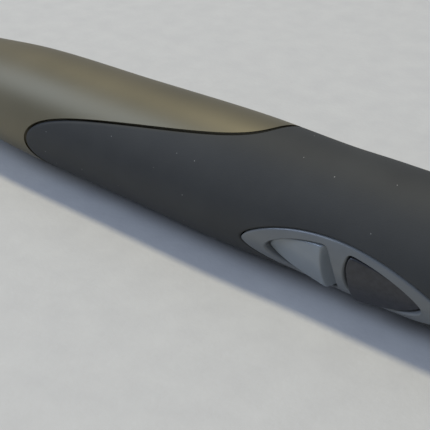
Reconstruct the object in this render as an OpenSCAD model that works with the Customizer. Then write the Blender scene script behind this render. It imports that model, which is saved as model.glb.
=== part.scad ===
// Grip pen for a drawing tablet: a cordless pen with a rubber grip, two side
// buttons in an oval bezel, a pressure-sensing nib and an eraser end.
// The nib tip is the origin. The pen lies along X, with +X out of the nib.
// Distances "from the tip" run along the pen towards its tail.

/* [Pen body] */
// Length from the nib tip to the end of the eraser
pen_len = 175; // [170:1:210]
// Radius where the nose cone meets the grip
neck_r = 4.8; // [4.6:0.1:5.6]
// Distance of the neck from the tip
neck_t = 14; // [13.5:0.5:15]
// Radius of the grip just behind its front taper
waist_r = 6.8; // [6.7:0.1:8]
// Distance of the waist from the tip
waist_t = 25; // [24:0.5:28]
// Radius at the thickest place of the pen
belly_r = 7.5; // [7.2:0.1:9]
// Distance of the thickest place from the tip
belly_t = 62; // [60:1:66]
// Radius behind the end of the grip
back_r = 6.9; // [6.5:0.05:8]
// Distance of that place from the tip
back_t = 97; // [90:1:102]
// Radius of the straight band at the tail
tail_r = 5.2; // [5.2:0.1:6.5]
// Length of the straight band at the tail
tail_band = 12; // [10:0.5:16]
// How far the eraser and its ring stand out of the barrel
tail_out = 7.8; // [7.4:0.1:9]

/* [Grip sleeve] */
// Thickness of the rubber
grip_thick = 1.15; // [0.9:0.05:1.3]
// End of the grip on the side away from the buttons, behind the switch centre
grip_short = 12.9; // [10:0.1:16]
// How much further the tongue would run behind the buttons
tongue_run = 38.7; // [30:0.1:46]
// Height towards the buttons at which the edge turns into the tongue
tongue_height = 3.7; // [3:0.1:4.4]
// Softness of that turn
tongue_soft = 1.5; // [1:0.1:2]
// Gap between the rubber and the barrel's raised part
grip_gap = 0.2; // [0.1:0.05:0.3]

/* [Side switch] */
// Distance of the switch centre from the tip
switch_t = 44; // [42:0.5:46]
// How far the buttons point below the horizontal
switch_tilt = 21.2; // [0:0.1:45]
// Half length of the bezel
bezel_half_len = 12.6; // [11.9:0.1:15.2]
// Half width of the bezel, measured around the pen
bezel_half_w = 4.22; // [4.1:0.02:5.1]
// Gap between the bezel and the rubber
bezel_gap = 0.14; // [0.08:0.02:0.3]
// Half length of the two openings together
opening_half_len = 9.45; // [9.2:0.05:9.8]
// Half width of the openings, measured around the pen
opening_half_w = 3.36; // [3.2:0.02:3.5]
// Half width of the bridge at its middle
bridge_half = 0.65; // [0.5:0.05:0.8]
// How much the bridge widens towards its ends
bridge_flare = 0.6; // [0.3:0.05:0.8]
// Gap between a button and the side of its opening
button_gap = 0.12; // [0.1:0.01:0.16]
// Gap between a button and the bridge
bridge_gap = 0.2; // [0.18:0.01:0.26]
// Distance of the rear button's ridge from the switch centre
rear_ridge_s = 2.4; // [1.6:0.1:3]
// Distance of the front button's ridge from the switch centre
front_ridge_s = 1.1; // [1:0.1:2.4]
// Depth of a button's step at the bridge, below the grip's surface
foot_drop = 1.4; // [0.8:0.1:1.6]
// How far a button's back stands over the grip's surface at the bridge
back_rise = 0.17; // [0.05:0.02:0.6]
// How far a button's outer end lies under the grip's surface
end_sink = 0.6; // [0.4:0.05:0.9]
// Radius of a button's rounded back
crown_r = 12; // [8:0.5:20]
// How far a button's crown lies to the side that faces down
crown_shift = 1; // [0:0.1:1.5]
// Thickness of a button under the bezel's top
button_depth = 2.2; // [2:0.05:2.3]
// Distance of the button hinges from the switch centre
hinge_s = 8.6; // [8.5:0.05:8.7]
// Depth of the hinges below the grip's surface over the front one
hinge_depth = 2.25; // [2.2:0.05:2.35]
// Radius of the hinge pins
hinge_pin_r = 0.35; // [0.3:0.01:0.38]
// Radial clearance of the hinge pins
hinge_gap = 0.05; // [0.02:0.01:0.08]
// Distance of the tact switches from the switch centre
tact_s = 4; // [3.8:0.1:4.2]
// Gap between a button's post and its tact switch
post_gap = 0.05; // [0.04:0.01:0.08]

/* [Inside] */
// Radius of the wide bore
bore_r = 4.3; // [4.1:0.05:4.4]
// Radius of the front bore, around the coil
front_bore_r = 2.7; // [2.65:0.01:2.9]
// Radius of the spigot that the nose cone screws onto
spigot_r = 3.25; // [3.15:0.05:3.4]
// Length of the spigot
spigot_len = 4; // [3:0.5:4.5]
// Radius of the coils and sensor housings
unit_r = 2.6; // [2.5:0.01:2.62]
// Distance from the pen's axis to the board's top, towards the buttons
board_top = 1.2; // [1:0.05:1.3]
// Room between the board's long edges and the widest line of the barrel's bore
board_side = 0.8; // [0.75:0.05:1.2]
// Thickness of the circuit board
board_thick = 0.8; // [0.6:0.1:1]
// Distance from the board's rear end to the end of the barrel
board_room = 27.2; // [27:0.1:50]
// Depth of the chassis rails below the pen's axis
rail_low = 1.2; // [0.8:0.1:2]
// Width of the board's edge that each rail holds
rail_grip = 0.9; // [0.6:0.1:1.2]
// Thickness of the chassis roof
roof = 1; // [0.8:0.1:1.2]
// Clearance of the chassis in the bore
chassis_gap = 0.1; // [0.05:0.01:0.15]

/* [Nib] */
// Radius of the nib
nib_r = 0.8; // [0.7:0.05:0.85]
// How far the nib stands out of the cone
nib_out = 2.2; // [1.8:0.1:2.6]
// Length of the whole nib
nib_len = 24; // [23.5:0.1:24.4]
// Radial clearance of the nib in the cone
nib_gap = 0.08; // [0.03:0.01:0.1]

/* [Eraser] */
// Radius of the eraser's sliding skirt
eraser_r = 3.5; // [3.3:0.05:3.6]
// Radius of the eraser's head
eraser_head_r = 4.3; // [4:0.05:4.6]
// How far the eraser presses in
eraser_travel = 0.8; // [0.5:0.1:0.9]
// Radial clearance of the skirt in the tail ring
eraser_gap = 0.08; // [0.03:0.01:0.1]

/* [Hidden] */
$fn = 96;
eps = 0.01;
over = 1;

// Colours of the finishes
taupe = [0.56, 0.55, 0.51];
rubber_grey = [0.20, 0.21, 0.22];
bezel_grey = [0.62, 0.63, 0.64];
button_light = [0.55, 0.56, 0.58];
button_dark = [0.24, 0.25, 0.27];
black = [0.09, 0.09, 0.10];
green = [0.10, 0.34, 0.20];
steel = [0.72, 0.73, 0.74];
copper = [0.75, 0.42, 0.22];
ferrite = [0.18, 0.17, 0.18];
white = [0.88, 0.88, 0.86];

// Outline of the pen: [distance from the tip, radius]
tail_t = pen_len - tail_out;
cone_front_r = nib_r + 0.65;
outline = [
    [nib_out, cone_front_r],
    [(nib_out + neck_t) / 2, (cone_front_r + neck_r) / 2 + 0.2],
    [neck_t, neck_r],
    [(neck_t + waist_t) / 2 - 0.5, (neck_r + waist_r) / 2 + 0.4],
    [waist_t, waist_r],
    [waist_t + 7, waist_r + 0.35],
    [switch_t, (waist_r + belly_r) / 2 + 0.1],
    [switch_t + 6, (waist_r + belly_r) / 2 + 0.05],
    [belly_t, belly_r],
    [(belly_t + back_t) / 2, (belly_r + back_r) / 2],
    [back_t, back_r],
    [back_t + 16, (back_r + tail_r) / 2 - 0.45],
    [(back_t + tail_t - tail_band) / 2 + 4, tail_r + 0.2],
    [tail_t - tail_band, tail_r]
];
last = len(outline) - 1;
function stretch(t, i = 0) = i >= last - 1 || t <= outline[i + 1][0] ? i : stretch(t, i + 1);
function rise(a, b) = (b[1] - a[1]) / (b[0] - a[0]);
function slope(i) = i == 0 ? rise(outline[0], outline[1])
    : i == last ? 0
    : rise(outline[i - 1], outline[i + 1]);
function blend_at(a, b, ma, mb, u) = let (w = b[0] - a[0])
    (2 * u ^ 3 - 3 * u ^ 2 + 1) * a[1] + (u ^ 3 - 2 * u ^ 2 + u) * w * ma
    + (3 * u ^ 2 - 2 * u ^ 3) * b[1] + (u ^ 3 - u ^ 2) * w * mb;
// Radius of the pen at a distance from the tip
function pen_r(t) = t >= outline[last][0] ? tail_r
    : let (i = stretch(t), a = outline[i], b = outline[i + 1])
    blend_at(a, b, slope(i), slope(i + 1), (t - a[0]) / (b[0] - a[0]));

// The drawn outline runs straight between rings a step apart, the same for every piece
ring_step = 3;
ring_start = tail_t - tail_band;
function ring_t(k) = ring_start + k * ring_step;
function ring_below(t) = floor((t - ring_start) / ring_step);
function line_r(t) = let (k = ring_below(t), u = (t - ring_t(k)) / ring_step)
    (1 - u) * pen_r(max(ring_t(k), nib_out)) + u * pen_r(ring_t(k + 1));

// The switch frame: x towards the tip, y around the pen, z out through the buttons
switch_r = line_r(switch_t);
oval_power_len = 1.78;
oval_power_w = 1.56;
function around(w) = switch_r * sin(w / switch_r * 180 / PI);
function oval_w(s, half_len, half_w) =
    half_w * max(0, 1 - abs(s / half_len) ^ oval_power_len) ^ (1 / oval_power_w);
function oval_s(w, half_len, half_w) =
    half_len * max(0, 1 - abs(w / half_w) ^ oval_power_w) ^ (1 / oval_power_len);
function power_cos(a, p) = sign(cos(a)) * abs(cos(a)) ^ (2 / p);
function power_sin(a, p) = sign(sin(a)) * abs(sin(a)) ^ (2 / p);
// Edge of the bridge at a distance w from its middle
function bridge_s(w, gap) = bridge_half + gap + bridge_flare * (w / 3) ^ 2;

// Grip edge: distance behind the switch centre at a height towards the buttons
function grip_edge(h) = grip_short + tongue_run / (1 + exp(-(h - tongue_height) / tongue_soft));

// Seat of the bezel on the barrel
seat_end = 0.6;
seat_side = 0.37;
window_half_len = bezel_half_len - seat_end;
window_half_w = bezel_half_w - seat_side;
// Hinge ears under the bezel
ear_half = 0.65;
ear_thick = 0.45;
ear_in = around(oval_w(hinge_s - ear_half, opening_half_len, opening_half_w)) + 0.08;
ear_out = ear_in + ear_thick;
ear_wall = 0.4;
boss_wall = 0.2;
hinge_n = line_r(switch_t - hinge_s) - hinge_depth;
// Tact switches on the board
tact_size = [3, 2.6, 1.4];
stem_r = 0.7;
stem_gap = 0.05;
stem_travel = 0.25;
stem_top = board_top + tact_size[2] + 0.6;
stem_low = board_top + 0.7;
post_r = 0.9;
post_low = stem_top + post_gap;

// Lengthwise places inside, from the tip
wide_bore_t = neck_t + 8;
wide_bore_run = 1.6;
core_front = 7;
core_back = neck_t + 5;
cushion_len = 1;
housing_front = core_back + cushion_len;
housing_len = 11;
housing_back = housing_front + housing_len;
cup_wall = 0.5;
chassis_front = wide_bore_t + wide_bore_run + 0.2;
board_front = housing_back + 2;
board_back = tail_t - board_room;
board_w = 2 * (bore_r - board_side);
tail_unit_t = tail_t - 26.7;
chassis_back = tail_t - 9.2;
ring_front = tail_t - 5.4;
ring_flange = 1;
ring_top = tail_t + ring_flange;
head_t = ring_top + eraser_travel + 0.2;

// Turns work drawn upwards into work drawn back along the pen
module pen_axis() rotate([0, -90, 0]) children();

// Puts work into the switch frame, at a distance from the tip
module switch_frame(t = switch_t) translate([-t, 0, 0]) rotate([90 + switch_tilt, 0, 0]) children();

// Solid inside the pen's outline, thinner by inset
module pen_form(from, to, inset = 0) pen_axis() rotate_extrude() polygon(concat(
    [[0, from], [line_r(from) - inset, from]],
    [for (k = [ring_below(from) + 1:ring_below(to - eps)]) [line_r(ring_t(k)) - inset, ring_t(k)]],
    [[line_r(to) - inset, to], [0, to]]
));

// Round rod along the pen
module rod(from, to, r) pen_axis() translate([0, 0, from]) cylinder(r = r, h = to - from);

// Round tube along the pen
module tube(from, to, r, hole) difference() {
    rod(from, to, r);
    rod(from - over, to + over, hole);
}

// Oval of the bezel family, seen square to the switch
module oval(half_len, half_w, count = 48) polygon([
    for (i = [0:count - 1]) let (a = i * 360 / count)
        [half_len * power_cos(a, oval_power_len), around(half_w * power_sin(a, oval_power_w))]
]);

// One opening beside the bridge, towards the tail, smaller by side and end gaps
module opening_outline(gap, end_gap, count = 10) {
    half_len = opening_half_len - gap;
    half_w = opening_half_w - gap;
    reach = half_w * 0.955;
    corner = 0.35;
    inner = [for (i = [-count:count]) let (w = (reach - corner) * i / count)
        [-bridge_s(w, end_gap), around(w)]];
    outer = [for (i = [count:-1:-count]) let (w = reach * sin(90 * i / count))
        [-max(oval_s(w, half_len, half_w), bridge_s(reach, end_gap) + corner), around(w)]];
    polygon(concat(inner, outer));
}

// Everything on the tip side of the grip's rear edge
module grip_zone(gap, front_extra = 0) {
    top = belly_r + 1.5;
    count = 36;
    switch_frame() rotate([90, 0, 0]) linear_extrude(height = 4 * belly_r, center = true)
        polygon(concat(
            [[switch_t - neck_t + front_extra, -top], [switch_t - neck_t + front_extra, top]],
            [for (i = [0:count]) let (h = top - 2 * top * i / count) [-grip_edge(h) - gap, h]]
        ));
}

// Straight cut out through the switch side
module switch_cut(from = 0) switch_frame()
    translate([0, 0, from]) linear_extrude(height = 3 * belly_r) children();

module barrel() color(taupe) difference() {
    union() {
        difference() {
            pen_form(neck_t, tail_t);
            grip_zone(grip_gap, over);
        }
        pen_form(neck_t, switch_t + grip_short + tongue_run + 2, grip_thick);
        rod(neck_t - spigot_len, neck_t + over, spigot_r);
    }
    rod(0, wide_bore_t + eps, front_bore_r);
    pen_axis() translate([0, 0, wide_bore_t])
        cylinder(r1 = front_bore_r, r2 = bore_r, h = wide_bore_run);
    rod(wide_bore_t + wide_bore_run - eps, pen_len, bore_r);
    switch_cut() oval(window_half_len, window_half_w);
}

module grip_sleeve() color(rubber_grey) difference() {
    intersection() {
        pen_form(neck_t, switch_t + grip_short + tongue_run + 1);
        grip_zone(0);
    }
    pen_form(neck_t - over, switch_t + grip_short + tongue_run + 2, grip_thick);
    switch_cut() oval(bezel_half_len + bezel_gap, bezel_half_w + bezel_gap);
}

module nose_cone() color(rubber_grey) difference() {
    pen_form(nib_out, neck_t);
    rod(0, neck_t, nib_r + nib_gap);
    pen_axis() translate([0, 0, core_front - 0.5])
        cylinder(r1 = 1.95, r2 = front_bore_r, h = neck_t - spigot_len - core_front + 0.5 + eps);
    rod(neck_t - spigot_len, neck_t + over, spigot_r + 0.05);
}

// Hinge ear with its bore, on one side of a button's lever
module hinge_ear() difference() {
    low = hinge_n - hinge_pin_r - hinge_gap - ear_wall;
    translate([-hinge_s - ear_half, ear_in, low])
        cube([2 * ear_half, ear_thick, switch_r - grip_thick + 0.3 - low]);
    translate([-hinge_s, 0, hinge_n]) rotate([-90, 0, 0])
        cylinder(r = hinge_pin_r + hinge_gap, h = 2 * ear_out);
}

// Leg that hooks under the barrel's wall at one end of the bezel
module clip_leg() {
    leg_thick = 0.8;
    leg_half_w = 0.5;
    hook_high = bore_r - 0.15;
    hook_low = hook_high - 0.65;
    leg_s = window_half_len - 0.7;
    leg_bite = 0.5;
    translate([-leg_s, -leg_half_w, hook_low])
        cube([leg_thick, 2 * leg_half_w, switch_r - grip_thick + leg_bite - hook_low]);
    translate([-window_half_len - 0.6, -leg_half_w, hook_low])
        cube([window_half_len + 0.6 - leg_s + eps, 2 * leg_half_w, hook_high - hook_low]);
}

module switch_bezel() color(bezel_grey) {
    difference() {
        intersection() {
            pen_form(switch_t - bezel_half_len - 2, switch_t + bezel_half_len + 2);
            switch_cut() oval(bezel_half_len, bezel_half_w);
        }
        pen_form(switch_t - bezel_half_len - 3, switch_t + bezel_half_len + 3, grip_thick);
        switch_cut() opening_outline(0, 0);
        switch_cut() mirror([1, 0, 0]) opening_outline(0, 0);
    }
    switch_frame() for (turn = [0, 1]) mirror([turn, 0, 0]) {
        hinge_ear();
        mirror([0, 1, 0]) hinge_ear();
        clip_leg();
    }
}

// One button, on the tail side of the bridge, with its lever, pin and post
module side_button(ridge_s) {
    out_s = opening_half_len - button_gap;
    lean = atan((back_rise + end_sink) / out_s);
    low_n = min(switch_r - button_depth, hinge_n + 0.1);
    foot_n = switch_r - foot_drop;
    foot_s = bridge_half + bridge_gap;
    intersection() {
        translate([0, 0, low_n]) linear_extrude(height = switch_r + 2 - low_n)
            opening_outline(button_gap, bridge_gap);
        translate([0, -crown_shift, switch_r + back_rise - crown_r / cos(lean)])
            rotate([0, -90 - lean, 0]) translate([0, 0, -5]) cylinder(r = crown_r, h = 20);
        rotate([90, 0, 0]) linear_extrude(height = 4 * opening_half_w, center = true) polygon([
            [-foot_s + 0.2, low_n - over],
            [-foot_s + 0.2, foot_n],
            [-foot_s, foot_n],
            [-ridge_s, switch_r + back_rise + over],
            [-out_s - over, switch_r + back_rise + over],
            [-out_s - over, low_n - over]
        ]);
    }
    translate([-hinge_s, 0, hinge_n]) rotate([90, 0, 0]) {
        cylinder(r = hinge_pin_r, h = 2 * ear_out, center = true);
        cylinder(r = hinge_pin_r + boss_wall, h = 2 * (ear_in - 0.1), center = true);
    }
    translate([-tact_s, 0, post_low]) cylinder(r = post_r, h = low_n - post_low + 0.5);
}

module rear_button() color(button_light) switch_frame() side_button(rear_ridge_s);

module front_button() color(button_dark) switch_frame()
    mirror([1, 0, 0]) side_button(front_ridge_s);

module tail_ring() color(rubber_grey) difference() {
    union() {
        rod(ring_front, tail_t + eps, bore_r);
        rod(tail_t, ring_top, tail_r - 0.1);
    }
    rod(0, pen_len + over, eraser_r + eraser_gap);
}

// Block in the switch frame's directions, between two distances from the tip
module board_block(from, to, half_w, low, high)
    switch_frame(0) translate([-to, -half_w, low]) cube([to - from, 2 * half_w, high - low]);

// Carrier over the board, open above the board at the switch and between its rails below
module chassis() color(black) {
    board_low = board_top - board_thick;
    rail_in = board_w / 2 - rail_grip;
    difference() {
        intersection() {
            rod(chassis_front, chassis_back, bore_r - chassis_gap);
            board_block(0, pen_len, 2 * bore_r, -rail_low, 2 * bore_r);
        }
        board_block(board_front, board_back, board_w / 2, board_low, board_top);
        board_block(board_front + 1, board_back - 1, rail_in, -2 * bore_r, bore_r - roof);
        board_block(switch_t - bezel_half_len - 1, switch_t + bezel_half_len + 1.5,
            2 * bore_r, board_top - eps, 2 * bore_r);
        rod(0, housing_back, unit_r);
        rod(tail_unit_t, pen_len, unit_r);
    }
}

module circuit_board() color(green)
    board_block(board_front, board_back, board_w / 2, board_top - board_thick, board_top);

// Body of a tact switch, with the bore that guides its stem
module tact_body(side) switch_frame() difference() {
    translate([side * tact_s - tact_size[0] / 2, -tact_size[1] / 2, board_top]) cube(tact_size);
    translate([side * tact_s, 0, stem_low - stem_travel - 0.1])
        cylinder(r = stem_r + stem_gap, h = 2 * tact_size[2]);
}

module tact_stem(side) switch_frame()
    translate([side * tact_s, 0, stem_low]) cylinder(r = stem_r, h = stem_top - stem_low);

module front_tact_body() color(steel) tact_body(1);
module rear_tact_body() color(steel) tact_body(-1);
module front_tact_stem() color(black) tact_stem(1);
module rear_tact_stem() color(black) tact_stem(-1);

module ferrite_core() color(ferrite) tube(core_front, core_back, 1.9, nib_r + 0.2);

module front_coil() color(copper) tube(core_front + 3, core_back - 1, unit_r, 1.9);

module core_cushion() color(black) tube(core_back, housing_front, unit_r, nib_r + 0.2);

module sensor_housing() color(white) difference() {
    rod(housing_front, housing_back, unit_r);
    rod(0, housing_front + 2, nib_r + 0.2);
    rod(housing_front + 1, housing_back + over, unit_r - cup_wall);
}

module sensor_rubber() color(black) rod(nib_len + 2.6, nib_len + 3.4, unit_r - cup_wall);

module sensor_disc() color(white) rod(nib_len + 3.4, nib_len + 4.6, unit_r - cup_wall);

module sensor_plug() color(steel) rod(nib_len + 4.6, housing_back, unit_r - cup_wall);

module nib() color(black) pen_axis() rotate_extrude() polygon(concat(
    [[0, 0]],
    [for (a = [15:15:90]) [nib_r * sin(a), nib_r * (1 - cos(a))]],
    [[nib_r, nib_len], [0, nib_len]]
));

module nib_holder() color(white) difference() {
    rod(nib_len - 1.7, nib_len + 2, nib_r + 0.8);
    rod(0, nib_len, nib_r);
}

// Chip on the board
module chip(t, w, len, wide, tall) board_block_at(t, w, len, wide, tall);
module board_block_at(t, w, len, wide, tall)
    switch_frame(t) translate([-len / 2, w - wide / 2, board_top]) cube([len, wide, tall]);

module control_chip() color(black) chip(board_front + 35, 0, 5, 5, 1);

module chip_parts() color(steel) {
    rows = 6;
    pitch = 4;
    for (i = [0:rows - 1]) {
        chip(board_front + 42 + pitch * i, 1.6, 1.6, 0.8, 0.6);
        chip(board_front + 43 + pitch * i, -1.5, 2, 1.2, 0.8);
    }
}

module trimmer() color(white) {
    body_high = bore_r - roof - board_top - 0.9;
    chip(board_front + 72, 0, 4, 3.2, body_high);
    switch_frame(board_front + 72) translate([0, 0, board_top + body_high - eps])
        cylinder(r = 1.2, h = 0.4);
}

module eraser_core() color(ferrite) tube(tail_unit_t + 9, chassis_back, 1.9, 1.1);

module eraser_coil() color(copper) tube(tail_unit_t + 10, chassis_back - 1, unit_r, 1.9);

module eraser_sensor() color(white) difference() {
    rod(tail_unit_t, tail_unit_t + 8.5, unit_r);
    rod(tail_unit_t + 1.5, tail_unit_t + 7.5, unit_r - cup_wall);
    rod(tail_unit_t + 7, tail_unit_t + 10, 1.1);
}

module eraser_rubber() color(black)
    rod(tail_unit_t + 1.5, tail_unit_t + 2.9, unit_r - cup_wall);

module eraser_plunger() color(white) {
    rod(tail_unit_t + 4, head_t - 1, 1);
    rod(tail_unit_t + 4, tail_unit_t + 5, 1.7);
}

// Head, skirt and the lip that keeps the eraser in
module eraser_tip() color(rubber_grey) difference() {
    dome = 2.2;
    union() {
        pen_axis() rotate_extrude() polygon(concat(
            [[0, head_t], [eraser_head_r, head_t]],
            [for (a = [0:10:90]) [
                eraser_head_r - dome * 0.75 + dome * 0.75 * cos(a),
                pen_len - dome + dome * sin(a)
            ]],
            [[0, pen_len]]
        ));
        rod(ring_front - 1, head_t + eps, eraser_r);
        rod(ring_front - 1.2, ring_front - 0.2, bore_r - 0.15);
    }
    rod(ring_front - 3, head_t - 3, eraser_r - 0.9);
    rod(0, head_t - 1, 1);
}

barrel();
grip_sleeve();
nose_cone();
switch_bezel();
front_button();
rear_button();
tail_ring();
chassis();
circuit_board();
front_tact_body();
rear_tact_body();
front_tact_stem();
rear_tact_stem();
ferrite_core();
front_coil();
core_cushion();
sensor_housing();
sensor_rubber();
sensor_disc();
sensor_plug();
nib();
nib_holder();
control_chip();
chip_parts();
trimmer();
eraser_tip();
eraser_plunger();
eraser_core();
eraser_coil();
eraser_sensor();
eraser_rubber();
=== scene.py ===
import math

import bmesh
import bpy
from mathutils import Matrix, Vector


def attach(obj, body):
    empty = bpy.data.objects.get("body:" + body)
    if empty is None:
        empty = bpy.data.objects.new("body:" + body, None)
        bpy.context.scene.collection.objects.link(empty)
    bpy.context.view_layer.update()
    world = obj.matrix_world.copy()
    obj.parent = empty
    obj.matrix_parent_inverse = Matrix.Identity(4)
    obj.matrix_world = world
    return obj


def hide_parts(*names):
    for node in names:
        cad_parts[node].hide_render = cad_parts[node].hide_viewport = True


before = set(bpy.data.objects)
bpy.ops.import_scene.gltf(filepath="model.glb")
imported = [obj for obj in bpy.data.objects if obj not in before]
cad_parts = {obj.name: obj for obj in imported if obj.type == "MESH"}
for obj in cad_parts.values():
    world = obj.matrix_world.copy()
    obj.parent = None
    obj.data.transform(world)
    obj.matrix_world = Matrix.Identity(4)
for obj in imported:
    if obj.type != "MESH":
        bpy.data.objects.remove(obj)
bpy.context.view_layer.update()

# ---------------------------------------------------------------- sizes, in millimetres
MM = 0.001
PEN_LEN = 175.0
BELLY_R = 7.5           # thickest place, which the pen lies on
TAIL_T = 167.2          # end of the barrel, from the nib tip
RING_TOP = 168.2        # end of the tail ring's flange
HEAD_T = 169.2          # front of the eraser's head
NECK_T = 14.0           # where the nose cone meets the grip
NIB_OUT = 2.2
GRIP_THICK = 1.15
GRIP_GAP = 0.2
LIP_FOOT = 0.35         # depth of the barrel's lip below its rounded edge
BORE_R = 4.3
FRONT_BORE_R = 2.7
SPIGOT_R = 3.25
SPIGOT_T = 10.0
SWITCH_T = 44.0
SWITCH_TILT = math.radians(21.2)
BEZEL = (12.6, 4.22)    # half length, half width around the pen
OPENING = (9.45, 3.36)
BRIDGE = (0.65, 0.6)    # half width at the middle, flare towards the ends
REAR_RIDGE_S = 2.35
FRONT_RIDGE_S = 1.05
FOOT_DROP = 1.4
BACK_RISE = 0.17
END_SINK = 0.6
CROWN_R = 12.0
CROWN_SHIFT = 1.0
FACE_POWER = 2.2        # how hollow a button's steep face is
RIDGE_SOFT = 0.09       # how softly the face runs into the back
BUTTON_GAP = 0.15       # between a button and its opening
BARREL_LIP = 0.28
GRIP_LIP = 0.4
BEZEL_POWERS = (1.78, 1.56)     # fullness along the bezel and across it

OUTLINE = [
    (2.2, 1.45), (8.1, 3.325), (14.0, 4.8), (19.0, 6.2), (25.0, 6.8), (32.0, 7.15), (44.0, 7.25),
    (50.0, 7.2), (62.0, BELLY_R), (79.5, 7.2), (97.0, 6.9), (113.0, 5.6), (130.1, 5.4), (155.2, 5.2),
]


def pen_r(t):
    """Radius of the pen at a distance from the nib tip."""
    if t >= OUTLINE[-1][0]:
        return OUTLINE[-1][1]
    t = max(t, OUTLINE[0][0])
    i = max(k for k in range(len(OUTLINE) - 1) if OUTLINE[k][0] <= t)

    def slope(k):
        if k == len(OUTLINE) - 1:
            return 0.0
        a, b = OUTLINE[max(k - 1, 0)], OUTLINE[k + 1]
        return (b[1] - a[1]) / (b[0] - a[0])

    (ta, ra), (tb, rb) = OUTLINE[i], OUTLINE[i + 1]
    w = tb - ta
    u = (t - ta) / w
    return ((2 * u**3 - 3 * u**2 + 1) * ra + (u**3 - 2 * u**2 + u) * w * slope(i)
            + (3 * u**2 - 2 * u**3) * rb + (u**3 - u**2) * w * slope(i + 1))


OUT = Vector((0, -math.cos(SWITCH_TILT), -math.sin(SWITCH_TILT)))
SIDE = Vector((0, -math.sin(SWITCH_TILT), math.cos(SWITCH_TILT)))
SWITCH_R = pen_r(SWITCH_T)


def at(t, turn, r):
    """Point at a distance from the tip, turned around the pen from the buttons."""
    return (Vector((-t, 0, 0)) + OUT * (r * math.cos(turn)) + SIDE * (r * math.sin(turn))) * MM


def at_switch(s, side, out):
    """Point behind the switch centre, sideways, and out through the buttons."""
    return (Vector((-SWITCH_T - s, 0, 0)) + SIDE * side + OUT * out) * MM


def skin(s, side):
    """Height of the pen's skin over its axis, seen square to the switch."""
    return math.sqrt(max(pen_r(SWITCH_T + s) ** 2 - side ** 2, 0.01))


# ---------------------------------------------------------------- modelling helpers
def deselect():
    if bpy.context.object and bpy.context.object.mode != "OBJECT":
        bpy.ops.object.mode_set(mode="OBJECT")
    bpy.ops.object.select_all(action="DESELECT")


def smooth(piece, angle=40):
    deselect()
    piece.select_set(True)
    bpy.context.view_layer.objects.active = piece
    bpy.ops.object.shade_smooth_by_angle(angle=math.radians(angle))


def close_up(piece, ends):
    """Merges the seam, fills open ends where asked, and turns the faces outwards."""
    bpy.ops.object.mode_set(mode="EDIT")
    bpy.ops.mesh.select_all(action="SELECT")
    bpy.ops.mesh.remove_doubles(threshold=2e-7)
    bpy.ops.mesh.dissolve_degenerate(threshold=1e-7)
    if ends:
        bpy.ops.mesh.select_all(action="DESELECT")
        bpy.ops.mesh.select_mode(type="EDGE")
        bpy.ops.mesh.select_non_manifold()
        bpy.ops.mesh.fill_holes(sides=0)
    bpy.ops.mesh.select_all(action="SELECT")
    bpy.ops.mesh.normals_make_consistent(inside=False)
    bpy.ops.object.mode_set(mode="OBJECT")


def wrap(name, rows, round_rows=False, ends=False):
    """A grid wrapped into a closed skin: each row is a loop of points around the piece."""
    if round_rows:
        rows = rows + [rows[0]]
    across, down = len(rows[0]), len(rows)
    deselect()
    bpy.ops.mesh.primitive_grid_add(x_subdivisions=across, y_subdivisions=down - 1, size=1)
    piece = bpy.context.object
    piece.name = piece.data.name = name
    flat = []
    for row in rows:
        for k in range(across + 1):
            flat.extend(row[k % across])
    piece.data.vertices.foreach_set("co", flat)
    piece.data.update()
    piece.location = (0, 0, 0)
    close_up(piece, ends)
    return piece


def turned(name, profile, steps=96):
    """A closed outline of (distance, radius) points spun around the pen's axis."""
    deselect()
    bpy.ops.mesh.primitive_circle_add(vertices=len(profile), radius=1)
    piece = bpy.context.object
    piece.name = piece.data.name = name
    for v, (t, r) in zip(piece.data.vertices, profile):
        v.co = (-t * MM, 0, r * MM)
    bpy.ops.object.mode_set(mode="EDIT")
    bpy.ops.mesh.select_all(action="SELECT")
    bpy.ops.mesh.spin(steps=steps, angle=2 * math.pi, center=(0, 0, 0), axis=(1, 0, 0))
    bpy.ops.object.mode_set(mode="OBJECT")
    close_up(piece, False)
    smooth(piece)
    return piece


def cut(piece, *cutters):
    """Takes each cutter out of the piece and removes the cutter."""
    for cutter in cutters:
        m = piece.modifiers.new("cut", "BOOLEAN")
        m.operation = "DIFFERENCE"
        m.solver = "EXACT"
        m.object = cutter
        deselect()
        piece.select_set(True)
        bpy.context.view_layer.objects.active = piece
        bpy.ops.object.modifier_apply(modifier=m.name)
        bpy.data.objects.remove(cutter, do_unlink=True)


def finish(piece, body, slot, surface, *nodes):
    piece.data.materials.clear()
    piece.data.materials.append(surface)
    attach(piece, body)
    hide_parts(*nodes)
    return piece


# ---------------------------------------------------------------- flat outlines at the switch
def power_loop(half_len, half_w, count):
    """Oval of the bezel family as (distance back, sideways) points."""
    along, across = BEZEL_POWERS
    points = []
    for k in range(count):
        a = 2 * math.pi * k / count
        c, s = math.cos(a), math.sin(a)
        back = half_len * math.copysign(abs(c) ** (2 / along), c)
        around = half_w * math.copysign(abs(s) ** (2 / across), s)
        points.append((back, SWITCH_R * math.sin(around / SWITCH_R)))
    return points


def even(points, count):
    """The same loop with its points evenly spaced."""
    loop = points + [points[0]]
    lengths = [0.0]
    for a, b in zip(loop, loop[1:]):
        lengths.append(lengths[-1] + math.dist(a, b))
    out, k = [], 0
    for j in range(count):
        want = lengths[-1] * j / count
        while lengths[k + 1] < want:
            k += 1
        u = (want - lengths[k]) / max(lengths[k + 1] - lengths[k], 1e-9)
        out.append(tuple(p + (q - p) * u for p, q in zip(loop[k], loop[k + 1])))
    return out


def soften(points, passes):
    """Rounds a loop's corners by averaging neighbours."""
    for _ in range(passes):
        n = len(points)
        points = [tuple((points[k - 1][i] + 2 * points[k][i] + points[(k + 1) % n][i]) / 4
                        for i in (0, 1)) for k in range(n)]
    return points


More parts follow.
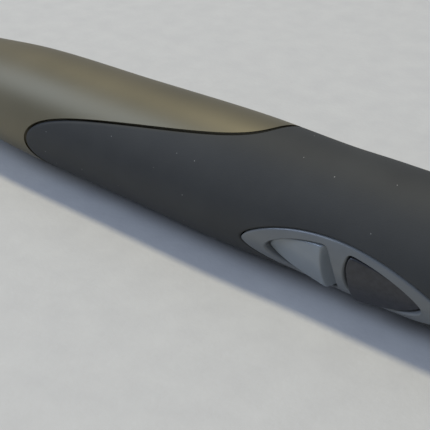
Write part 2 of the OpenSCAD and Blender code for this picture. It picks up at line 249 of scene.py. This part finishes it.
def grown(points, by):
    """The loop moved outwards by a distance; inwards when it is negative."""
    n = len(points)
    area = sum(points[k - 1][0] * points[k][1] - points[k][0] * points[k - 1][1] for k in range(n))
    turn = 1 if area > 0 else -1
    out = []
    for k in range(n):
        ax, ay = points[k - 1]
        bx, by_ = points[(k + 1) % n]
        dx, dy = bx - ax, by_ - ay
        length = math.hypot(dx, dy) or 1e-9
        out.append((points[k][0] + turn * dy / length * by, points[k][1] - turn * dx / length * by))
    return out


def opening_loop(count=160):
    """Outline of the opening on the tail side of the bridge, with rounded corners."""
    half_len, half_w = OPENING
    along, across = BEZEL_POWERS
    reach = half_w * 0.97

    def lateral(w):
        return SWITCH_R * math.sin(w / SWITCH_R)

    points = []
    for k in range(-20, 21):
        w = reach * k / 20
        points.append((BRIDGE[0] + BRIDGE[1] * (w / 3) ** 2, lateral(w)))
    for k in range(39, -40, -1):
        w = reach * math.sin(math.pi / 2 * k / 40)
        s = half_len * max(0, 1 - abs(w / half_w) ** across) ** (1 / along)
        points.append((max(s, BRIDGE[0] + BRIDGE[1] * (w / 3) ** 2), lateral(w)))
    return soften(even(points, count), 5)


def mirrored(points):
    return [(-s, side) for s, side in reversed(points)]


# ---------------------------------------------------------------- the grip's rear edge
def grip_edge(height):
    return 12.9 + 38.7 / (1 + math.exp(-(height - 3.7) / 1.5))


def edge_curve(columns):
    """Rear edge of the grip: (distance, turn, outward direction) for each column."""
    fine = []
    for k in range(1201):
        turn = math.pi * k / 1200
        low, high = 50.0, 100.0
        for _ in range(40):
            t = (low + high) / 2
            if SWITCH_T + grip_edge(pen_r(t) * math.cos(turn)) > t:
                low = t
            else:
                high = t
        fine.append((t, turn))
    lengths = [0.0]
    for (ta, fa), (tb, fb) in zip(fine, fine[1:]):
        r = pen_r((ta + tb) / 2)
        lengths.append(lengths[-1] + math.hypot(tb - ta, r * (fb - fa)))
    half, k = [], 0
    steps = columns // 2
    for j in range(steps + 1):
        want = lengths[-1] * j / steps
        while k < len(lengths) - 2 and lengths[k + 1] < want:
            k += 1
        u = (want - lengths[k]) / (lengths[k + 1] - lengths[k])
        half.append((fine[k][0] + (fine[k + 1][0] - fine[k][0]) * u,
                     fine[k][1] + (fine[k + 1][1] - fine[k][1]) * u, j / steps))
    full = half + [(t, 2 * math.pi - f, 2 - share) for t, f, share in reversed(half[1:-1])]
    out = []
    n = len(full)
    for j in range(n):
        (ta, fa, _), (tb, fb, _) = full[j - 1], full[(j + 1) % n]
        if j == 0:
            fa -= 2 * math.pi
        if j == n - 1:
            fb += 2 * math.pi
        t, f, share = full[j]
        r = pen_r(t)
        dt, dw = tb - ta, r * (fb - fa)
        length = math.hypot(dt, dw)
        far_turn = 0.5 * (math.pi * share) + 0.5 * f
        out.append((t, f, (dw / length, -dt / length), far_turn))
    return out


COLUMNS = 288
EDGE = edge_curve(COLUMNS)


def beside_edge(column, off):
    """Place at a distance from the grip's edge, towards the tail where positive."""
    t, f, (nt, nw), _ = column
    return t + nt * off, f + nw * off / pen_r(t)


def edge_row(off, lift):
    row = []
    for column in EDGE:
        t, f = beside_edge(column, off)
        row.append(at(t, f, pen_r(t) + lift))
    return row


def spread_rows(start_off, end_t, count, lift, power=1.0):
    """Rows from beside the edge to a straight ring, not counting the first."""
    rows = []
    for k in range(1, count + 1):
        u = (k / count) ** power
        row = []
        for column in EDGE:
            t, f = beside_edge(column, start_off)
            tt = t + (end_t - t) * u
            ff = f + (column[3] - f) * (3 * u * u - 2 * u ** 3)
            row.append(at(tt, ff, pen_r(tt) + lift))
        rows.append(row)
    return rows


def ring(t, r):
    return [at(t, column[3], r) for column in EDGE]


def arc_pairs(radius, count):
    """Steps of a quarter round: (inset, drop)."""
    steps = []
    for k in range(count + 1):
        a = math.pi / 2 * k / count
        steps.append((radius * (1 - math.sin(a)), radius * (1 - math.cos(a))))
    return steps


def window_cutter(name, loop, levels):
    """Closed column through the skin: levels are (growth of the loop, height over the skin)."""
    rows = []
    for grow, lift in levels:
        shape = grown(loop, grow)
        rows.append([at_switch(s, side, skin(s, side) + lift) for s, side in shape])
    return wrap(name, rows, ends=True)


# ---------------------------------------------------------------- surfaces
def surface(name, colour, roughness, metallic=0.0, shine=0.5):
    m = bpy.data.materials.new(name)
    m.use_nodes = True
    shader = shader_of(m)
    shader.inputs["Base Color"].default_value = (*colour, 1)
    shader.inputs["Roughness"].default_value = roughness
    shader.inputs["Metallic"].default_value = metallic
    shader.inputs["Specular IOR Level"].default_value = shine
    return m


def node(m, kind, **settings):
    n = m.node_tree.nodes.new(kind)
    for key, value in settings.items():
        setattr(n, key, value)
    return n


def shader_of(m):
    return m.node_tree.nodes["Principled BSDF"]


def link(m, source, target):
    m.node_tree.links.new(source, target)


def noise_on(m, scale, detail=3.0, roughness=0.55):
    place = node(m, "ShaderNodeTexCoord")
    grain = node(m, "ShaderNodeTexNoise")
    grain.inputs["Scale"].default_value = scale
    grain.inputs["Detail"].default_value = detail
    grain.inputs["Roughness"].default_value = roughness
    link(m, place.outputs["Object"], grain.inputs["Vector"])
    return grain


def ramp_on(m, source, stops):
    ramp = node(m, "ShaderNodeValToRGB")
    band = ramp.color_ramp
    while len(band.elements) < len(stops):
        band.elements.new(0.5)
    for element, (position, colour) in zip(band.elements, stops):
        element.position = position
        element.color = (*colour, 1)
    link(m, source, ramp.inputs["Fac"])
    return ramp


def grained(m, grain_scale, depth_mm, shades, patch_scale, rough):
    """Fine moulded grain, faint patches of shade and an uneven sheen."""
    shader = shader_of(m)
    grain = noise_on(m, grain_scale, 2.0)
    bump = node(m, "ShaderNodeBump")
    bump.inputs["Strength"].default_value = 1.0
    bump.inputs["Distance"].default_value = depth_mm * MM
    link(m, grain.outputs["Fac"], bump.inputs["Height"])
    link(m, bump.outputs["Normal"], shader.inputs["Normal"])
    patches = noise_on(m, patch_scale, 4.0)
    shade = ramp_on(m, patches.outputs["Fac"], [(0.3, shades[0]), (0.7, shades[1])])
    link(m, shade.outputs["Color"], shader.inputs["Base Color"])
    sheen = node(m, "ShaderNodeMapRange")
    sheen.inputs["To Min"].default_value = rough[0]
    sheen.inputs["To Max"].default_value = rough[1]
    link(m, patches.outputs["Fac"], sheen.inputs["Value"])
    link(m, sheen.outputs["Result"], shader.inputs["Roughness"])
    return m


grip_rubber = grained(surface("grip_rubber", (0.06, 0.063, 0.064), 0.6, shine=0.15),
                      5200, 0.012, ((0.051, 0.052, 0.050), (0.061, 0.062, 0.059)), 160, (0.58, 0.68))


MIX_BELOW, MIX_OVER, MIX_OUT = 6, 7, 2      # the mix node's colour sockets


def dusted(m, cells, share, radius):
    """Sparse light specks lying on a surface."""
    shader = shader_of(m)
    below = shader.inputs["Base Color"].links[0].from_socket
    place = node(m, "ShaderNodeTexCoord")
    spots = node(m, "ShaderNodeTexVoronoi")
    spots.inputs["Scale"].default_value = cells
    link(m, place.outputs["Object"], spots.inputs["Vector"])
    near = node(m, "ShaderNodeMath", operation="LESS_THAN")
    near.inputs[1].default_value = radius
    link(m, spots.outputs["Distance"], near.inputs[0])
    split = node(m, "ShaderNodeSeparateColor")
    link(m, spots.outputs["Color"], split.inputs["Color"])
    chosen = node(m, "ShaderNodeMath", operation="LESS_THAN")
    chosen.inputs[1].default_value = share
    link(m, split.outputs["Red"], chosen.inputs[0])
    both = node(m, "ShaderNodeMath", operation="MULTIPLY")
    link(m, near.outputs["Value"], both.inputs[0])
    link(m, chosen.outputs["Value"], both.inputs[1])
    mix = node(m, "ShaderNodeMix", data_type="RGBA")
    link(m, both.outputs["Value"], mix.inputs["Factor"])
    link(m, below, mix.inputs[MIX_BELOW])
    mix.inputs[MIX_OVER].default_value = (0.30, 0.29, 0.27, 1)
    link(m, mix.outputs[MIX_OUT], shader.inputs["Base Color"])
    return m


dusted(grip_rubber, 1100, 0.16, 0.075)
barrel_paint = grained(surface("barrel_paint", (0.30, 0.29, 0.25), 0.36, 0.4),
                       9000, 0.006, ((0.150, 0.130, 0.078), (0.170, 0.147, 0.090)), 90, (0.44, 0.54))
bezel_plastic = grained(surface("bezel_plastic", (0.2, 0.21, 0.22), 0.35),
                        5000, 0.004, ((0.145, 0.153, 0.152), (0.165, 0.174, 0.172)), 300, (0.26, 0.36))
light_button = grained(surface("light_button", (0.2, 0.21, 0.22), 0.35),
                       5000, 0.004, ((0.220, 0.243, 0.253), (0.245, 0.269, 0.279)), 300, (0.16, 0.26))
dark_button = grained(surface("dark_button", (0.04, 0.042, 0.045), 0.4),
                      5000, 0.012, ((0.018, 0.018, 0.020), (0.040, 0.040, 0.043)), 1500, (0.34, 0.50))
dark_plastic = grained(surface("dark_plastic", (0.05, 0.052, 0.054), 0.45),
                       5000, 0.008, ((0.045, 0.047, 0.049), (0.055, 0.057, 0.058)), 200, (0.42, 0.52))
eraser_plastic = grained(surface("eraser_plastic", (0.05, 0.052, 0.054), 0.4),
                         5000, 0.006, ((0.042, 0.044, 0.046), (0.052, 0.054, 0.056)), 200, (0.38, 0.48))
black_plastic = grained(surface("black_plastic", (0.02, 0.02, 0.02), 0.45),
                        4000, 0.006, ((0.016, 0.016, 0.016), (0.024, 0.024, 0.024)), 200, (0.4, 0.5))
white_plastic = grained(surface("white_plastic", (0.75, 0.75, 0.72), 0.4),
                        4000, 0.004, ((0.72, 0.72, 0.69), (0.78, 0.78, 0.75)), 200, (0.35, 0.45))
black_rubber = grained(surface("black_rubber", (0.02, 0.02, 0.02), 0.7),
                       3000, 0.02, ((0.018, 0.018, 0.018), (0.026, 0.026, 0.026)), 200, (0.65, 0.75))
ferrite = grained(surface("ferrite", (0.05, 0.045, 0.045), 0.55),
                  6000, 0.02, ((0.04, 0.036, 0.036), (0.07, 0.062, 0.06)), 900, (0.45, 0.65))
steel = grained(surface("steel", (0.6, 0.6, 0.62), 0.3, 1.0),
                2500, 0.003, ((0.55, 0.55, 0.57), (0.65, 0.65, 0.67)), 400, (0.25, 0.38))
board_green = grained(surface("board_green", (0.02, 0.12, 0.05), 0.35),
                      1500, 0.004, ((0.015, 0.10, 0.04), (0.03, 0.15, 0.065)), 120, (0.28, 0.4))


def wound_wire():
    """Enamelled wire wound side by side along the pen, with painted shade in the grooves between turns.
    """
    m = surface("copper", (0.75, 0.32, 0.14), 0.3, 1.0)
    shader = shader_of(m)
    place = node(m, "ShaderNodeTexCoord")
    turns = node(m, "ShaderNodeTexWave")
    turns.bands_direction = "X"
    turns.inputs["Scale"].default_value = 1300
    turns.inputs["Distortion"].default_value = 0.3
    link(m, place.outputs["Object"], turns.inputs["Vector"])
    bump = node(m, "ShaderNodeBump")
    bump.inputs["Distance"].default_value = 0.04 * MM
    link(m, turns.outputs["Fac"], bump.inputs["Height"])
    link(m, bump.outputs["Normal"], shader.inputs["Normal"])
    # painted shade: the ramp darkens the copper in the grooves between turns, on the same bands as the
    # bump
    shade = ramp_on(m, turns.outputs["Fac"], [(0.1, (0.35, 0.12, 0.05)), (0.6, (0.78, 0.36, 0.17))])
    link(m, shade.outputs["Color"], shader.inputs["Base Color"])
    return m


copper = wound_wire()


# ---------------------------------------------------------------- outer pieces
def make_barrel():
    lip, rim, taper_t = BARREL_LIP, 0.3, 108
    rows = [ring(SPIGOT_T, FRONT_BORE_R), ring(SPIGOT_T, SPIGOT_R - 0.2),
            ring(SPIGOT_T + 0.2, SPIGOT_R), ring(NECK_T, SPIGOT_R),
            ring(NECK_T, pen_r(NECK_T) - GRIP_THICK)]
    core = spread_rows(0.0, NECK_T, 40, -GRIP_THICK)[::-1]
    rows += core[1:]
    rows.append(edge_row(GRIP_GAP, -GRIP_THICK))
    rows.append(edge_row(GRIP_GAP, -lip - LIP_FOOT))
    for inset, drop in arc_pairs(lip, 5)[::-1]:
        rows.append(edge_row(GRIP_GAP + (lip - inset), -drop))
    rows += spread_rows(GRIP_GAP + lip, taper_t, 56, 0.0, 1.2)
    for k in range(1, 41):
        t = taper_t + (TAIL_T - rim - taper_t) * k / 40
        rows.append(ring(t, pen_r(t)))
    for inset, drop in arc_pairs(rim, 4)[1:-1]:
        rows.append(ring(TAIL_T - inset, pen_r(TAIL_T) - drop))
    rows.append(ring(TAIL_T, pen_r(TAIL_T) - rim))
    rows.append(ring(TAIL_T, BORE_R))
    for t in (150, 130, 110, 90, 70, 58, 50, 44, 38, 30, 23.6):
        rows.append(ring(t, BORE_R))
    rows.append(ring(22, FRONT_BORE_R))
    piece = wrap("barrel_shell", rows, round_rows=True)
    loop = power_loop(BEZEL[0] - 0.6, BEZEL[1] - 0.37, 120)
    levels = (0.5, 9.5)
    rows = [[at_switch(s, side, out) for s, side in loop] for out in levels]
    opening = wrap("opening", rows, ends=True)
    cut(piece, opening)
    smooth(piece, 35)
    return finish(piece, "pen_body", "barrel_paint", barrel_paint, "barrel")


def make_grip():
    lip = GRIP_LIP
    rows = [ring(NECK_T, pen_r(NECK_T) - GRIP_THICK), ring(NECK_T, pen_r(NECK_T) - 0.25),
            ring(NECK_T + 0.1, pen_r(NECK_T + 0.1) - 0.08)]
    rows += spread_rows(-lip, NECK_T + 0.3, 110, 0.0)[::-1]
    steps = 6
    for k in range(steps + 1):
        a = math.pi / 2 * k / steps
        rows.append(edge_row(-lip + lip * math.sin(a), -lip + lip * math.cos(a)))
    rows.append(edge_row(0, -GRIP_THICK))
    rows += spread_rows(0.0, NECK_T, 30, -GRIP_THICK)[:-1]
    piece = wrap("grip_skin", rows, round_rows=True)
    loop = grown(power_loop(*BEZEL, 240), 0.14)
    hole = window_cutter("hole", loop, [(0, -2.5), (0, -0.22), (0.02, -0.12), (0.07, -0.05),
                                        (0.14, -0.01), (0.24, 0.03), (0.5, 1.5)])
    cut(piece, hole)
    smooth(piece, 35)
    return finish(piece, "pen_body", "grip_rubber", grip_rubber, "grip_sleeve")


def make_bezel():
    loop = even(power_loop(*BEZEL, 480), 240)
    rows = []
    flat = 24
    for k in range(flat, 0, -1):
        share = 1 - k / flat
        rows.append([at_switch(s * share, side * share, skin(s * share, side * share) - GRIP_THICK)
                     for s, side in loop])
    rows.append([at_switch(s, side, skin(s, side) - GRIP_THICK) for s, side in loop])
    edge = 0.16
    for k in range(6):
        a = math.pi / 2 * k / 5
        shape = grown(loop, -edge * (1 - math.cos(a)))
        rows.append([at_switch(s, side, skin(s, side) - edge * (1 - math.sin(a)))
                     for s, side in shape])
    shape = grown(loop, -edge)
    for k in range(1, flat + 1):
        share = 1 - k / flat
        rows.append([at_switch(s * share, side * share, skin(s * share, side * share))
                     for s, side in shape])
    piece = wrap("switch_frame", rows)
    opening = opening_loop()
    levels = [(0, -3), (0, -0.3), (0.02, -0.2), (0.07, -0.1), (0.14, -0.035), (0.22, 0.02),
              (0.22, 1.5)]
    cut(piece, window_cutter("rear_opening", opening, levels),
        window_cutter("front_opening", mirrored(opening), levels))
    smooth(piece, 30)
    return finish(piece, "pen_body", "bezel_plastic", bezel_plastic, "switch_bezel")


LEAN = math.atan((BACK_RISE + END_SINK) / (OPENING[0] - 0.12))


def button_top(s, side, ridge_s):
    """Height of a button's back over the pen's axis, on the tail side."""
    crown = (side + CROWN_SHIFT) ** 2 / (2 * CROWN_R)
    back = SWITCH_R + BACK_RISE - s * math.tan(LEAN) - crown
    foot_s = BRIDGE[0] + 0.2
    climb = (max(s - foot_s, 0) / (ridge_s - foot_s)) ** FACE_POWER
    face = SWITCH_R - FOOT_DROP + (FOOT_DROP + BACK_RISE) * climb
    gap = (back - face) / RIDGE_SOFT
    return min(back, face) - RIDGE_SOFT * math.log1p(math.exp(-abs(gap)))


def make_button(name, turn, ridge_s, body, slot, look, cad_node):
    loop = grown(opening_loop(144), -BUTTON_GAP)
    edge = 0.14
    rows = [[(s, side, SWITCH_R - 2.2) for s, side in loop],
            [(s, side, button_top(s, side, ridge_s) - 0.5) for s, side in loop]]
    for k in range(5):
        a = math.pi / 2 * k / 4
        shape = grown(loop, -edge * (1 - math.cos(a)))
        rows.append([(s, side, button_top(s, side, ridge_s) - edge * (1 - math.sin(a)))
                     for s, side in shape])
    centre_s = 3.6
    shape = grown(loop, -edge)
    steps = 36
    for k in range(1, steps + 1):
        share = 1 - k / steps
        row = []
        for s, side in shape:
            s, side = centre_s + (s - centre_s) * share, side * share
            row.append((s, side, button_top(s, side, ridge_s)))
        rows.append(row)
    rows = [[at_switch(turn * s, side, out) for s, side, out in row] for row in rows]
    piece = wrap(name, rows, ends=True)
    smooth(piece, 50)
    return finish(piece, body, slot, look, cad_node)


def make_nose_cone():
    outer = [(NIB_OUT, pen_r(NIB_OUT) - 0.2), (NIB_OUT + 0.2, pen_r(NIB_OUT + 0.2))]
    outer += [(t, pen_r(t)) for t in [2.8 + 0.4 * k for k in range(28)]]
    outer += [(NECK_T - 0.1, pen_r(NECK_T) - 0.05), (NECK_T - 0.02, pen_r(NECK_T) - 0.18)]
    socket_r, guide_r, guide_t = 3.3, 0.88, 6.5
    inner = [(NECK_T - 0.02, socket_r), (SPIGOT_T, socket_r), (SPIGOT_T, 2.7), (guide_t, 1.95),
             (guide_t, guide_r), (NIB_OUT, guide_r)]
    piece = turned("nose_cone_shell", outer + inner)
    return finish(piece, "pen_body", "dark_plastic", dark_plastic, "nose_cone")


def make_nib():
    r, end = 0.8, 24.0
    tip = [(r * (1 - math.cos(math.radians(a))), r * math.sin(math.radians(a)))
           for a in range(0, 91, 10)]
    piece = turned("nib_rod", tip + [(end - 0.2, r), (end, r - 0.2), (end, 0.0)], steps=48)
    return finish(piece, "nib", "black_plastic", black_plastic, "nib")


def make_tail_ring():
    r = 5.1
    front, guide_r = 161.8, 3.58
    profile = [(front, guide_r), (front, BORE_R), (TAIL_T, BORE_R), (TAIL_T + 0.02, r - 0.2),
               (TAIL_T + 0.08, r - 0.06), (TAIL_T + 0.2, r), (RING_TOP - 0.3, r),
               (RING_TOP - 0.1, r - 0.08), (RING_TOP, r - 0.3), (RING_TOP, 3.7),
               (RING_TOP - 0.1, guide_r)]
    piece = turned("tail_collar", profile)
    return finish(piece, "pen_body", "dark_plastic", dark_plastic, "tail_ring")


def make_eraser():
    r, dome = 4.3, 2.2
    skirt = [(HEAD_T - 3, 2.6), (160.7, 2.6), (160.7, 4.15), (161.6, 4.15), (161.6, 3.5),
             (HEAD_T, 3.5), (HEAD_T, r - 0.25), (HEAD_T + 0.08, r - 0.08), (HEAD_T + 0.25, r)]
    top = [(PEN_LEN - dome + dome * math.sin(math.radians(a)),
            r - dome * 0.75 + dome * 0.75 * math.cos(math.radians(a))) for a in range(0, 91, 6)]
    profile = [(HEAD_T - 3, 0.0)] + skirt + top + [(PEN_LEN, 0.0)]
    piece = turned("eraser_head", profile)
    return finish(piece, "eraser", "eraser_plastic", eraser_plastic, "eraser_tip")


make_barrel()
make_grip()
make_bezel()
make_button("rear_key", 1, REAR_RIDGE_S, "rear_button", "light_button", light_button,
            "rear_button")
make_button("front_key", -1, FRONT_RIDGE_S, "front_button", "dark_button", dark_button,
            "front_button")
make_nose_cone()
make_nib()
make_tail_ring()
make_eraser()

# ---------------------------------------------------------------- inner pieces keep their solids
INNER = {
    "chassis": black_plastic, "circuit_board": board_green, "front_tact_body": steel,
    "rear_tact_body": steel, "front_tact_stem": black_plastic, "rear_tact_stem": black_plastic,
    "ferrite_core": ferrite, "front_coil": copper, "core_cushion": black_rubber,
    "sensor_housing": white_plastic, "sensor_rubber": black_rubber, "sensor_disc": white_plastic,
    "sensor_plug": steel, "nib_holder": white_plastic, "control_chip": black_plastic,
    "chip_parts": ferrite, "trimmer": white_plastic, "eraser_plunger": white_plastic,
    "eraser_core": ferrite, "eraser_coil": copper, "eraser_sensor": white_plastic,
    "eraser_rubber": black_rubber,
}
for name, look in INNER.items():
    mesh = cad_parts[name].data
    mesh.materials.clear()
    mesh.materials.append(look)

# ---------------------------------------------------------------- table, light and camera
def make_table():
    deselect()
    bpy.ops.mesh.primitive_plane_add(size=4, location=(0, 0, -BELLY_R * MM))
    table = bpy.context.object
    table.name = "table"
    m = grained(surface("table_top", (0.62, 0.61, 0.585), 0.6), 1400, 0.03,
                ((0.60, 0.59, 0.568), (0.64, 0.63, 0.602)), 260, (0.55, 0.65))
    table.data.materials.append(m)


def make_light(name, place, towards, size, power, colour):
    data = bpy.data.lights.new(name, "AREA")
    data.shape = "DISK"
    data.size = size
    data.energy = power
    data.color = colour
    lamp = bpy.data.objects.new(name, data)
    bpy.context.scene.collection.objects.link(lamp)
    lamp.location = place
    lamp.rotation_euler = (Vector(towards) - Vector(place)).to_track_quat("-Z", "Y").to_euler()


def make_camera():
    eye = Vector((0.008855, -0.083968, 0.055192))
    right = Vector((0.7485, 0.6631, -0.0105))
    up = Vector((-0.3105, 0.3644, 0.878))
    back = Vector((0.586, -0.6539, 0.4786))
    data = bpy.data.cameras.new("camera")
    data.lens = 92.09
    data.sensor_width = 36
    data.clip_start = 0.005
    camera = bpy.data.objects.new("camera", data)
    bpy.context.scene.collection.objects.link(camera)
    camera.location = eye
    camera.rotation_euler = Matrix((right, up, back)).transposed().to_euler()
    bpy.context.scene.camera = camera


make_table()
make_camera()
make_light("window", (-0.42, 0.21, 1.18), (-0.05, 0, 0), 0.19, 7.5, (1.0, 0.92, 0.68))
make_light("sky", (-0.88, -0.5, 0.72), (-0.05, 0, 0), 0.7, 6.2, (0.60, 0.73, 1.0))
world = bpy.data.worlds.new("room")
world.use_nodes = True
world.node_tree.nodes["Background"].inputs["Color"].default_value = (0.70, 0.79, 1.0, 1)
world.node_tree.nodes["Background"].inputs["Strength"].default_value = 0.36
bpy.context.scene.world = world
bpy.context.scene.view_settings.view_transform = "Standard"
